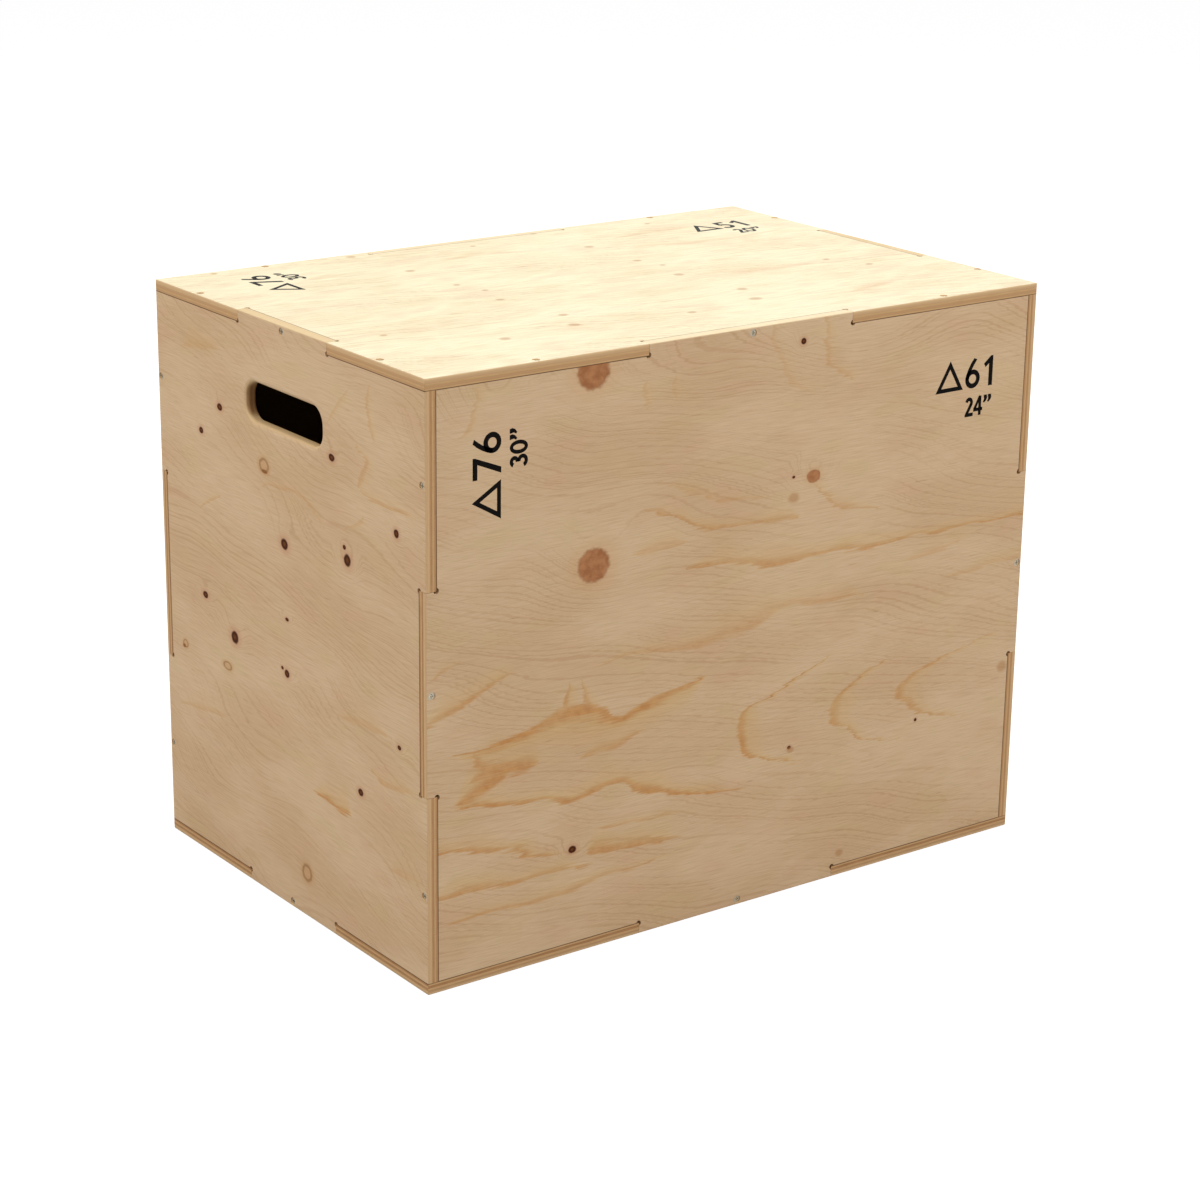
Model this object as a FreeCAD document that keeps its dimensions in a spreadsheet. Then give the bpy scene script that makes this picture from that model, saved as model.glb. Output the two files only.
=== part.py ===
import FreeCAD, Part
import Sketcher
import os
from FreeCAD import BoundBox, Rotation, Vector

# Plyo box: six plywood panels with finger joints, a brace inside, and a countersunk screw in every finger.
# X runs along the front, Y from front to back and Z up. The origin is the middle of the underside.

doc = FreeCAD.newDocument("plyo_box")

# Driving dimensions in millimetres. An angle is in degrees, and a share is a part of one.
SIZES = {
    # the box, whose three sides are its three heights in use
    "box_width": 760,
    "box_depth": 510,
    "box_height": 610,
    "ply": 12,
    "edge_round": 1.5,
    # the middle finger of each edge, the seam beside it and the cutter's mark in its inner corners
    "finger_on_width": 254,
    "finger_on_depth": 170,
    "finger_on_height": 204,
    "finger_gap": 0.3,
    "relief_diameter": 6,
    "relief_shift_share": 0.25,
    # the hand slot of the end panels
    "slot_length": 144,
    "slot_height": 40,
    "slot_drop": 88,
    "slot_corner_share": 0.85,
    "slot_round": 5,
    "slot_inner_round": 2,
    # the grooves that house the brace
    "groove_depth": 3,
    "groove_gap": 0.2,
    # the wood screws and their holes
    "screw_length": 35,
    "head_diameter": 8,
    "head_angle": 90,
    "head_sink": 1,
    "neck_diameter": 3,
    "thread_diameter": 4,
    "core_diameter": 2.8,
    "thread_pitch": 2,
    "thread_land": 0.3,
    "tip_length": 5,
    "recess_span": 4.6,
    "recess_width": 1.1,
    "recess_depth": 1.8,
    "bore_gap": 0.2,
    "pilot_gap": 0.05,
    "tip_gap": 2,
    # how far a cut runs past the wood
    "cut_overrun": 5,
}
sheet = doc.addObject("Spreadsheet::Sheet", "size")
for row, (name, number) in enumerate(SIZES.items(), start=1):
    sheet.set("A%d" % row, name)
    sheet.set("B%d" % row, str(number))
    sheet.setAlias("B%d" % row, name)
doc.recompute()


def value(expression):
    """The number that an expression of the sizes gives."""
    return float(sheet.evalExpression(expression))


def plus(expression):
    return expression


def minus(expression):
    return "-(%s)" % expression


QUARTERS = ((plus, plus), (minus, plus), (minus, minus), (plus, minus))


def bind(item, **expressions):
    """Tie properties of an object to expressions of the sizes."""
    for name, expression in expressions.items():
        item.setExpression(name, expression)


def set_place(item, x="0", y="0", z="0"):
    """Tie an object's place to expressions of the sizes."""
    for axis, expression in zip("xyz", (x, y, z)):
        item.setExpression("Placement.Base." + axis, expression)


def origin_part(body, role):
    return next(item for item in body.Origin.OriginFeatures if item.Role == role)


def sketch_on(body, role, name, lift="0"):
    """Empty sketch on one of the body's own planes, lifted along the plane's normal."""
    sketch = body.newObject("Sketcher::SketchObject", name)
    sketch.AttachmentSupport = [(origin_part(body, role), "")]
    sketch.MapMode = "FlatFace"
    sketch.setExpression("AttachmentOffset.Base.z", lift)
    return sketch


def drive(sketch, expression, kind, *where):
    """Constraint whose size follows an expression."""
    index = sketch.addConstraint(Sketcher.Constraint(kind, *where, value(expression)))
    sketch.setExpression("Constraints[%d]" % index, expression)


def pin(sketch, geometry, point, spot):
    """Tie one point of a sketch to a pair of expressions, measured from the sketch's origin."""
    for kind, expression in zip(("DistanceX", "DistanceY"), spot):
        drive(sketch, expression, kind, -1, 1, geometry, point)


def draw_outline(sketch, corners):
    """Closed outline of straight lines. Each corner is a pair of expressions."""
    points = [Vector(value(x), value(y), 0) for x, y in corners]
    for start, end in zip(points, points[1:] + points[:1]):
        sketch.addGeometry(Part.LineSegment(start, end))
    for index, corner in enumerate(corners):
        pin(sketch, index, 1, corner)
        before = (index - 1) % len(corners)
        sketch.addConstraint(Sketcher.Constraint("Coincident", before, 2, index, 1))


def draw_circles(sketch, diameter, centres):
    """Equal circles. Each centre is a pair of expressions."""
    for index, centre in enumerate(centres):
        x, y = centre
        middle = Vector(value(x), value(y), 0)
        sketch.addGeometry(Part.Circle(middle, Vector(0, 0, 1), value(diameter) / 2))
        pin(sketch, index, 3, centre)
        drive(sketch, diameter, "Diameter", index)


def add_pocket(body, sketch, depth=None, upward=False):
    """Cut a sketch into the body, right through where no depth is given."""
    pocket = body.newObject("PartDesign::Pocket", sketch.Name + "_cut")
    pocket.Profile = sketch
    pocket.Reversed = upward
    if depth is None:
        pocket.Type = "ThroughAll"
    else:
        bind(pocket, Length=depth)
    return pocket


def add_fillet(body, feature, radius, edges):
    """Round the named edges of a feature."""
    fillet = body.newObject("PartDesign::Fillet", feature.Name + "_round")
    fillet.Base = (feature, edges)
    bind(fillet, Radius=radius)
    doc.recompute()
    return fillet


def rectangle(half_width, low, high):
    return [(minus(half_width), low), (half_width, low), (half_width, high), (minus(half_width), high)]


# The wood screw. Its axis is Z, it points down, and zero is the face of the panel that it is sunk into.
SCREW_TIP = "(size.head_sink + size.screw_length)"
HEAD_HEIGHT = "(size.head_diameter - size.neck_diameter) / 2 / tan(size.head_angle / 2 * 1 deg)"
THREAD_END = "(%s - size.tip_length)" % SCREW_TIP


def make_screw():
    """Turned blank with a countersunk head, thread ridges below the first panel and a cross recess."""
    body = doc.addObject("PartDesign::Body", "wood_screw")
    profile = sketch_on(body, "XZ_Plane", "screw_profile")
    draw_outline(profile, [
        ("0", minus("size.head_sink")),
        ("0", minus(SCREW_TIP)),
        ("size.thread_diameter / 2", minus(THREAD_END)),
        ("size.thread_diameter / 2", minus("size.ply")),
        ("size.neck_diameter / 2", minus("size.ply")),
        ("size.neck_diameter / 2", minus("size.head_sink + " + HEAD_HEIGHT)),
        ("size.head_diameter / 2", minus("size.head_sink")),
    ])
    blank = body.newObject("PartDesign::Revolution", "screw_blank")
    blank.Profile = profile
    blank.ReferenceAxis = (profile, ["V_Axis"])
    blank.Angle = 360
    doc.recompute()

    valley = sketch_on(body, "XZ_Plane", "thread_valley")
    middle = "size.ply + size.thread_pitch / 2"
    half = "(size.thread_pitch - size.thread_land) / 2"
    crest = "size.thread_diameter / 2"
    draw_outline(valley, [
        ("size.core_diameter / 2", minus(middle)),
        (crest, minus(middle + " + " + half)),
        (crest + " + size.cut_overrun", minus(middle + " + " + half)),
        (crest + " + size.cut_overrun", minus(middle + " - " + half)),
        (crest, minus(middle + " - " + half)),
    ])
    groove = body.newObject("PartDesign::Groove", "thread_groove")
    groove.Profile = valley
    groove.ReferenceAxis = (valley, ["V_Axis"])
    groove.Angle = 360
    doc.recompute()
    ridges = body.newObject("PartDesign::LinearPattern", "thread_ridges")
    ridges.Originals = [groove]
    ridges.Direction = (origin_part(body, "Z_Axis"), [""])
    ridges.Reversed = True
    turns = "floor((%s - size.ply) / size.thread_pitch)" % THREAD_END
    bind(ridges, Occurrences=turns, Length="size.thread_pitch * (%s - 1)" % turns)
    body.Tip = ridges
    doc.recompute()

    cross = sketch_on(body, "XY_Plane", "cross_recess", minus("size.head_sink"))
    arm, side = "size.recess_span / 2", "size.recess_width / 2"
    quarter = [(arm, side), (side, side), (side, arm)]
    draw_outline(cross, symmetric(quarter))
    add_pocket(body, cross, "size.recess_depth")
    doc.recompute()
    return body


def symmetric(quarter):
    """Whole outline of a shape that is alike in all four quarters, from the points of the first."""
    corners = []
    for sign_u, sign_v in QUARTERS:
        turned = quarter if sign_u is sign_v else quarter[::-1]
        corners += [(sign_u(u), sign_v(v)) for u, v in turned]
    return corners


# A panel lies in its own frame: u and v along it, its outer face at zero, and the inside of the box below.
def edge_pair(kind, across, along, finger):
    """Expressions for two opposite edges of a panel, which carry a tab or a notch at mid length."""
    outer = "size.%s / 2" % across
    inner = "(size.%s / 2 - size.ply)" % across
    shift = "size.relief_diameter / 2 * size.relief_shift_share"
    end_finger = "(size.%s + size.%s) / 4" % (along, finger)
    pair = {"inner": inner, "relief": inner + " + " + shift, "screw": outer + " - size.ply / 2"}
    if kind == "tab":
        half = "(size.%s / 2 - size.finger_gap)" % finger
        pair.update(base=inner, middle=outer, half=half, relief_along=half + " + " + shift)
        pair.update(bores=["0"], pilots=[end_finger, minus(end_finger)])
    else:
        half = "size.%s / 2" % finger
        pair.update(base=outer, middle=inner, half=half, relief_along=half + " - " + shift)
        pair.update(bores=[end_finger, minus(end_finger)], pilots=["0"])
    return pair


def make_blank(name, u_edges, v_edges):
    """Panel sawn to its fingers, with the round marks of the cutter in the inner corners."""
    body = doc.addObject("PartDesign::Body", name)
    sketch = sketch_on(body, "XY_Plane", name + "_outline")
    draw_outline(sketch, symmetric([
        (u_edges["middle"], u_edges["half"]),
        (u_edges["base"], u_edges["half"]),
        (u_edges["base"], v_edges["base"]),
        (v_edges["half"], v_edges["base"]),
        (v_edges["half"], v_edges["middle"]),
    ]))
    plate = body.newObject("PartDesign::Pad", name + "_plate")
    plate.Profile = sketch
    plate.Reversed = True
    bind(plate, Length="size.ply")
    doc.recompute()

    reliefs = sketch_on(body, "XY_Plane", name + "_reliefs")
    centres = []
    for sign_u, sign_v in QUARTERS:
        centres.append((sign_u(u_edges["relief"]), sign_v(u_edges["relief_along"])))
        centres.append((sign_u(v_edges["relief_along"]), sign_v(v_edges["relief"])))
    draw_circles(reliefs, "size.relief_diameter", centres)
    add_pocket(body, reliefs)
    doc.recompute()
    return body


def add_housing(body, half_length):
    """Groove across the inner face at mid width, which takes the brace."""
    groove = sketch_on(body, "XY_Plane", body.Name + "_housing", minus("size.ply"))
    draw_outline(groove, rectangle("size.ply / 2 + size.groove_gap", minus(half_length), half_length))
    add_pocket(body, groove, "size.groove_depth", upward=True)
    doc.recompute()


def add_hand_slot(body):
    """Slot for the fingers, with rounded corners, a wide round on the outer rim and a small one inside."""
    middle = "size.box_height / 2 - size.slot_drop"
    low, high = middle + " - size.slot_height / 2", middle + " + size.slot_height / 2"
    sketch = sketch_on(body, "XY_Plane", body.Name + "_slot")
    draw_outline(sketch, rectangle("size.slot_length / 2", low, high))
    feature = add_pocket(body, sketch)
    doc.recompute()

    half, half_ply = value("size.slot_length / 2"), value("size.ply / 2")
    around = BoundBox(-half, value(low), -2 * half_ply, half, value(high), 0)
    around.enlarge(value("size.slot_round"))

    def slot_edges(chosen):
        names = []
        for number, edge in enumerate(feature.Shape.Edges, start=1):
            if around.isInside(edge.BoundBox) and chosen(edge.BoundBox):
                names.append("Edge%d" % number)
        return names

    corners = slot_edges(lambda box: box.ZLength > half_ply)
    feature = add_fillet(body, feature, "size.slot_height / 2 * size.slot_corner_share", corners)
    inner_rim = slot_edges(lambda box: box.ZMax < -half_ply)
    feature = add_fillet(body, feature, "size.slot_inner_round", inner_rim)
    outer_rim = slot_edges(lambda box: box.ZMin > -half_ply)
    add_fillet(body, feature, "size.slot_round", outer_rim)


def bore_spots(u_edges, v_edges):
    """Where the screws stand in a panel's own fingers, edge by edge: low u, high u, low v, high v."""
    u, v = u_edges["screw"], v_edges["screw"]
    return [
        [(minus(u), along) for along in u_edges["bores"]],
        [(u, along) for along in u_edges["bores"]],
        [(along, minus(v)) for along in v_edges["bores"]],
        [(along, v) for along in v_edges["bores"]],
    ]


def add_screw_holes(body, u_edges, v_edges):
    """Countersunk holes through the fingers, and pilot holes in the edges where neighbours are screwed on."""
    seats = sketch_on(body, "XY_Plane", body.Name + "_seats")
    bore = "size.thread_diameter + 2 * size.bore_gap"
    draw_circles(seats, bore, sum(bore_spots(u_edges, v_edges), []))
    doc.recompute()
    hole = body.newObject("PartDesign::Hole", body.Name + "_bores")
    hole.Profile = seats
    hole.Threaded = False
    hole.DepthType = "ThroughAll"
    hole.HoleCutType = "Counterdrill"
    bind(hole, Diameter=bore, HoleCutDiameter="size.head_diameter", HoleCutDepth="size.head_sink")
    bind(hole, HoleCutCountersinkAngle="size.head_angle")
    doc.recompute()

    pilot = "size.thread_diameter + 2 * size.pilot_gap"
    depth = SCREW_TIP + " - size.ply + size.tip_gap"
    for role, edges in (("YZ_Plane", u_edges), ("XZ_Plane", v_edges)):
        sketch = sketch_on(body, role, body.Name + "_pilots_" + role[:2], edges["inner"])
        draw_circles(sketch, pilot, [(along, minus("size.ply / 2")) for along in edges["pilots"]])
        pocket = add_pocket(body, sketch, depth)
        doc.recompute()
        mirror = body.newObject("PartDesign::Mirrored", body.Name + "_pilots_across_" + role[:2])
        mirror.Originals = [pocket]
        mirror.MirrorPlane = (origin_part(body, role), [""])
        body.Tip = mirror
        doc.recompute()


# The three kinds of panel. Tabs and notches alternate, so that each fits its neighbours.
DECK_U = edge_pair("notch", "box_width", "box_depth", "finger_on_depth")
DECK_V = edge_pair("notch", "box_depth", "box_width", "finger_on_width")
SIDE_U = edge_pair("tab", "box_width", "box_height", "finger_on_height")
SIDE_V = edge_pair("tab", "box_height", "box_width", "finger_on_width")
END_U = edge_pair("notch", "box_depth", "box_height", "finger_on_height")
END_V = edge_pair("tab", "box_height", "box_depth", "finger_on_depth")


def make_deck(name):
    """Top or bottom panel: it owns the corners, and takes a tab of each upright panel."""
    body = make_blank(name, DECK_U, DECK_V)
    add_housing(body, DECK_V["inner"] + " + size.cut_overrun")
    add_screw_holes(body, DECK_U, DECK_V)
    return body


def make_side(name):
    """Front or back panel: a tab in the middle of each edge."""
    body = make_blank(name, SIDE_U, SIDE_V)
    add_housing(body, SIDE_V["inner"] + " + size.groove_depth")
    add_screw_holes(body, SIDE_U, SIDE_V)
    return body


def make_end(name):
    """End panel: tabs up and down, notches for the front and back panels, and the hand slot."""
    body = make_blank(name, END_U, END_V)
    add_hand_slot(body)
    add_screw_holes(body, END_U, END_V)
    return body


HALF_WIDTH, HALF_DEPTH, HALF_HEIGHT = "size.box_width / 2", "size.box_depth / 2", "size.box_height / 2"
UPRIGHT = Rotation(Vector(1, 0, 0), 90)


def turned(angle):
    """Stand a panel up, facing the front, and turn it about the box's upright axis."""
    return Rotation(Vector(0, 0, 1), angle) * UPRIGHT


# Each panel: its maker, how it is turned, where its outer face lies, its bores, and the box edges that they hold.
PANELS = {
    "top_panel": (make_deck, Rotation(), {"z": "size.box_height"}, bore_spots(DECK_U, DECK_V),
                  ("top_left", "top_right", "top_front", "top_back")),
    "bottom_panel": (make_deck, Rotation(Vector(1, 0, 0), 180), {}, bore_spots(DECK_U, DECK_V),
                     ("bottom_left", "bottom_right", "bottom_back", "bottom_front")),
    "front_panel": (make_side, turned(0), {"y": minus(HALF_DEPTH), "z": HALF_HEIGHT}, bore_spots(SIDE_U, SIDE_V),
                    ("front_left", "front_right", "bottom_front", "top_front")),
    "back_panel": (make_side, turned(180), {"y": HALF_DEPTH, "z": HALF_HEIGHT}, bore_spots(SIDE_U, SIDE_V),
                   ("back_right", "back_left", "bottom_back", "top_back")),
    "left_end_panel": (make_end, turned(270), {"x": minus(HALF_WIDTH), "z": HALF_HEIGHT},
                       bore_spots(END_U, END_V), ("back_left", "front_left", "bottom_left", "top_left")),
    "right_end_panel": (make_end, turned(90), {"x": HALF_WIDTH, "z": HALF_HEIGHT},
                        bore_spots(END_U, END_V), ("front_right", "back_right", "bottom_right", "top_right")),
}

# The case that the outer edges are sanded to, once the box is together.
case = doc.addObject("PartDesign::Body", "rounded_case")
case_plan = sketch_on(case, "XY_Plane", "case_plan")
draw_outline(case_plan, rectangle(HALF_WIDTH, minus(HALF_DEPTH), HALF_DEPTH))
case_block = case.newObject("PartDesign::Pad", "case_block")
case_block.Profile = case_plan
bind(case_block, Length="size.box_height")
doc.recompute()
case_round = case.newObject("PartDesign::Fillet", "case_round")
case_round.Base = (case_block, [""])
case_round.UseAllEdges = True
bind(case_round, Radius="size.edge_round")
doc.recompute()

nodes = []
screw = make_screw()
screw_groups = {}
for name, (make, turn, spot, bores, edges) in PANELS.items():
    blank = make(name + "_blank")
    blank.Placement.Rotation = turn
    set_place(blank, **spot)
    panel = doc.addObject("Part::Common", name)
    panel.Base = blank
    panel.Tool = case
    nodes.append(panel)
    for edge, spots in zip(edges, bores):
        for u, v in spots:
            group = screw_groups.setdefault(edge, [])
            link = doc.addObject("App::Link", "%s_screw_%d" % (edge, len(group) + 1))
            link.LinkedObject = screw
            seat = "placement(vector(%s; %s; 0); rotation(0; 0; 0))" % (u, v)
            link.setExpression("Placement", "%s.Placement * %s" % (blank.Name, seat))
            group.append(link)

# The brace, a plain board across the box, let into the panels in front, behind, above and below.
brace = doc.addObject("Part::Box", "inner_brace")
reach = "2 * (size.groove_depth - size.groove_gap - size.ply)"
bind(brace, Length="size.ply", Width="size.box_depth + " + reach, Height="size.box_height + " + reach)
set_place(brace, x="-size.ply / 2", y="-inner_brace.Width / 2", z="size.ply - size.groove_depth + size.groove_gap")
nodes.append(brace)

# Three screws hold each edge of the box.
for edge, links in screw_groups.items():
    group = doc.addObject("Part::Compound", edge + "_screws")
    group.Links = links
    nodes.append(group)

doc.recompute()

failed = [item.Name for item in doc.Objects if {"Invalid", "Error"} & set(item.State)]
failed += [node.Name for node in nodes if node.Shape.isNull() or not node.Shape.isValid()]
if failed:
    raise RuntimeError("failed: " + ", ".join(failed))
os.makedirs("parts", exist_ok=True)
for node in nodes:
    node.Shape.exportStep("parts/%s.step" % node.Label)
    print(node.Label, len(node.Shape.Solids), round(node.Shape.Volume / 1000, 3), "cm3")
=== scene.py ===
import bmesh
import bpy
from math import cos, pi, radians, sin
from mathutils import Matrix, Vector


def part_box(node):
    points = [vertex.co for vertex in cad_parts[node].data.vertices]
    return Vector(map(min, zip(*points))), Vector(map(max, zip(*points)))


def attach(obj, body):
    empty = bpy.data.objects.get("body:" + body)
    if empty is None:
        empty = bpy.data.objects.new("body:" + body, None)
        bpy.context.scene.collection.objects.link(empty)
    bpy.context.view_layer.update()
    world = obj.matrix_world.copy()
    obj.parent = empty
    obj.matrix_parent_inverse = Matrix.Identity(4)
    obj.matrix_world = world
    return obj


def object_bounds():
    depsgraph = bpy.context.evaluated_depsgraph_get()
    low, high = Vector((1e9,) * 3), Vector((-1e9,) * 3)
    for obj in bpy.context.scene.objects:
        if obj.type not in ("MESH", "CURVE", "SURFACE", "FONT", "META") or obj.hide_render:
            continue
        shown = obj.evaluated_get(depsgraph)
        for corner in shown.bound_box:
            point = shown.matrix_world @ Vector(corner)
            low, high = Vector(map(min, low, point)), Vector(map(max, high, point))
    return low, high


# Plyo box in metres: X along its front, Y from front to back, Z up, and the floor at zero.
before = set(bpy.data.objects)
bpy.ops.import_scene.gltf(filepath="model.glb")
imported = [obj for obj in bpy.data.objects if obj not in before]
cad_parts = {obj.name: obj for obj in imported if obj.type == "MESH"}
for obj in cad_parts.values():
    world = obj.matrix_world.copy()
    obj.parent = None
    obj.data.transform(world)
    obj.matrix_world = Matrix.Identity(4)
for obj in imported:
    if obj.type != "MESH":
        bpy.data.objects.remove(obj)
cad_low, cad_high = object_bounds()


# Bottom panel: a sheet of five-ply spruce plywood, rotary cut and sanded bare, sawn with a notch in
# the middle of each edge. It lies under the others and is screwed up into them.
MM = 0.001
PLY = 12.0
LAYER = PLY / 5
SEAM = 0.45
FINGERS = {"width": 254.0, "depth": 170.0, "height": 204.0}
RING_GAP = 8.5
RING_LEAN = 0.22

# how long and high the blotches of its patterns are, along and across the grain
FIBRES, FEATHERS, PATCHES, BLUSHES = (34.0, 0.7), (42.0, 3.0), (190.0, 75.0), (70.0, 30.0)
MOTTLES, SWIRLS, WOBBLES, WAVES, STREAKS = (9.0, 8.0), (260.0, 120.0), (6.0, 5.0), (60.0, 60.0), (16.0, 0.9)

# where a flame's sharp side, its full colour and its fade begin and end, in its own widths
FLAME_SIDE, FLAME_CORE, FLAME_FADE = (-0.3, 0.05), (1.0, 0.2), (3.0, 0.3)
HAIR = 0.00001


class Wire:
    """A value on its way through a material: sums on it add Math nodes, and node() adds any other."""

    def __init__(self, tree, socket=None):
        self.tree = tree
        self.socket = socket

    def node(self, kind, settings=None, sockets=None, out=0):
        made = self.tree.nodes.new("ShaderNode" + kind)
        for key, setting in (settings or {}).items():
            if key == "points":
                line = made.mapping.curves[0].points
                line[0].location = setting[0]
                line[1].location = setting[-1]
                for spot in setting[1:-1]:
                    line.new(*spot)
                made.mapping.extend = "HORIZONTAL"
                made.mapping.update()
            else:
                setattr(made, key, setting)
        for key, value in (sockets or {}).items():
            if isinstance(value, Wire):
                self.tree.links.new(value.socket, made.inputs[key])
            else:
                made.inputs[key].default_value = value
        return Wire(self.tree, made.outputs[out])

    def math(self, operation, *others):
        return self.node("Math", {"operation": operation}, dict(enumerate((self,) + others)))

    def __add__(self, other):
        return self.math("ADD", other)

    def __radd__(self, other):
        return self.math("ADD", other)

    def __sub__(self, other):
        return self.math("SUBTRACT", other)

    def __rsub__(self, other):
        return self.node("Math", {"operation": "SUBTRACT"}, {0: other, 1: self})

    def __mul__(self, other):
        return self.math("MULTIPLY", other)

    def __rmul__(self, other):
        return self.math("MULTIPLY", other)

    def __truediv__(self, other):
        return self.math("DIVIDE", other)

    def __abs__(self):
        return self.math("ABSOLUTE")


def tone(red, green, blue):
    """A colour as it looks, from 0 to 255, as the light that it sends back."""
    parts = [part / 255 for part in (red, green, blue)]
    return tuple(((p + 0.055) / 1.055) ** 2.4 if p > 0.04 else p / 12.92 for p in parts) + (1.0,)


VENEER_PALE, VENEER_TAN = tone(218, 188, 151), tone(211, 178, 140)
VENEER_PINK, VENEER_YELLOW = tone(212, 164, 132), tone(206, 178, 122)
RING_BROWN, FIBRE_BROWN, FLECK_BROWN = tone(180, 134, 94), tone(176, 140, 99), tone(140, 98, 62)
FLAME_LIGHT, FLAME_DARK, FLAME_GLOW = tone(204, 146, 86), tone(192, 130, 72), tone(212, 172, 108)
RED_KNOT_DARK, RED_KNOT_LIGHT = tone(158, 100, 60), tone(180, 122, 80)
RED_KNOT_GLOW, RED_KNOT_RIM = tone(206, 156, 104), tone(120, 70, 40)
DARK_KNOT, DARK_KNOT_HEART, DARK_KNOT_GLOW = tone(70, 30, 4), tone(104, 58, 22), tone(196, 138, 104)
PALE_KNOT, PALE_KNOT_RING, BROWN_KNOT = tone(196, 144, 88), tone(128, 84, 46), tone(178, 126, 78)
CORE_LIGHT, CORE_DARK = tone(212, 172, 124), tone(190, 148, 102)
INNER_LIGHT, INNER_DARK = tone(164, 130, 92), tone(140, 106, 72)
END_GRAIN_LIGHT, END_GRAIN_DARK = tone(196, 150, 104), tone(146, 102, 64)
# the pale rim tone is a painted highlight, as if the eased edges by the face caught the light
RIM_PAINTED_HIGHLIGHT, GLUE_LINE, SEAM_SHADE = tone(228, 198, 154), tone(120, 82, 48), tone(66, 40, 20)
# slot tones: the pale one is fresh routed wood brightened with painted light, the end one is dark end grain
# deepened with painted shade
SLOT_PALE_AND_LIT, SLOT_END_GRAIN_AND_SHADE = tone(226, 196, 146), tone(126, 80, 34)


def smooth(value, start, end, low=0.0, high=1.0):
    """Soft step from low, where the value is start, to high, where it is end."""
    spans = {"Value": value, "From Min": start, "From Max": end, "To Min": low, "To Max": high}
    return value.node("MapRange", {"interpolation_type": "SMOOTHSTEP"}, spans)


def mix(share, first, second):
    """Colour between two others."""
    return share.node("Mix", {"data_type": "RGBA"}, {0: share, 6: first, 7: second}, out=2)


def stretched(at, size, centre):
    """The place seen from a centre, in lengths of its own along u and v."""
    scale = (1 / size[0], 1 / size[1], 0.0)
    shift = (-centre[0] / size[0], -centre[1] / size[1], 0.0)
    return at.node("VectorMath", {"operation": "MULTIPLY_ADD"}, {0: at, 1: scale, 2: shift})


def clouds(at, size, seed, detail=2.0):
    """Cloudy value from 0 to 1, with blotches of a size along and across the grain."""
    spot = stretched(at, size, (seed * 97.0, seed * 61.0))
    sockets = {"Vector": spot, "Scale": 1.0, "Detail": detail}
    return spot.node("TexNoise", {"noise_dimensions": "2D"}, sockets)


def away(at, place, size):
    """How far a place is, in radii of an oval of that size."""
    spot = stretched(at, (size[0] / 2, size[1] / 2), place)
    return spot.node("VectorMath", {"operation": "LENGTH"}, {0: spot}, out="Value")


def nearest(at, ovals):
    """How far the nearest oval is, in its own radii."""
    found = None
    for u, v, length, height in ovals:
        far = away(at, (u, v), (length, height))
        found = far if found is None else far.math("MINIMUM", found)
    return found


def flame(along, across, strength, points):
    """Late wood through places with widths: its full colour, sharp on one side, and its fade on the other.

    It fades towards higher places across the sheet, and towards lower ones where a width is below zero."""
    falls = any(point[2] < 0.0 for point in points)
    widths = [(point[0], abs(point[2])) for point in points]
    before = [(0.0, 0.0)] if widths[0][1] == 0.0 else []
    after = [(1.0, 0.0)] if widths[-1][1] == 0.0 else []
    middle = along.node("FloatCurve", {"points": [point[:2] for point in points]}, {"Value": along})
    width = along.node("FloatCurve", {"points": before + widths + after}, {"Value": along})
    over = (middle - across if falls else across - middle) / width.math("MAXIMUM", HAIR)
    side = smooth(over, *FLAME_SIDE)
    core = smooth(over, *FLAME_CORE, 0.0, strength)
    fade = smooth(over, *FLAME_FADE, 0.0, strength)
    return side * core, side * fade


def bare(name, sockets):
    """New material with fixed values on some sockets, and a start for its wires."""
    material = bpy.data.materials.new(name)
    material.use_nodes = True
    shader = material.node_tree.nodes["Principled BSDF"]
    for key, value in sockets.items():
        shader.inputs[key].default_value = value
    return material, Wire(material.node_tree)


def finish(material, wires):
    """Lead wires to the material's shader."""
    shader = material.node_tree.nodes["Principled BSDF"]
    for key, wire in wires.items():
        material.node_tree.links.new(wire.socket, shader.inputs[key])


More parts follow.
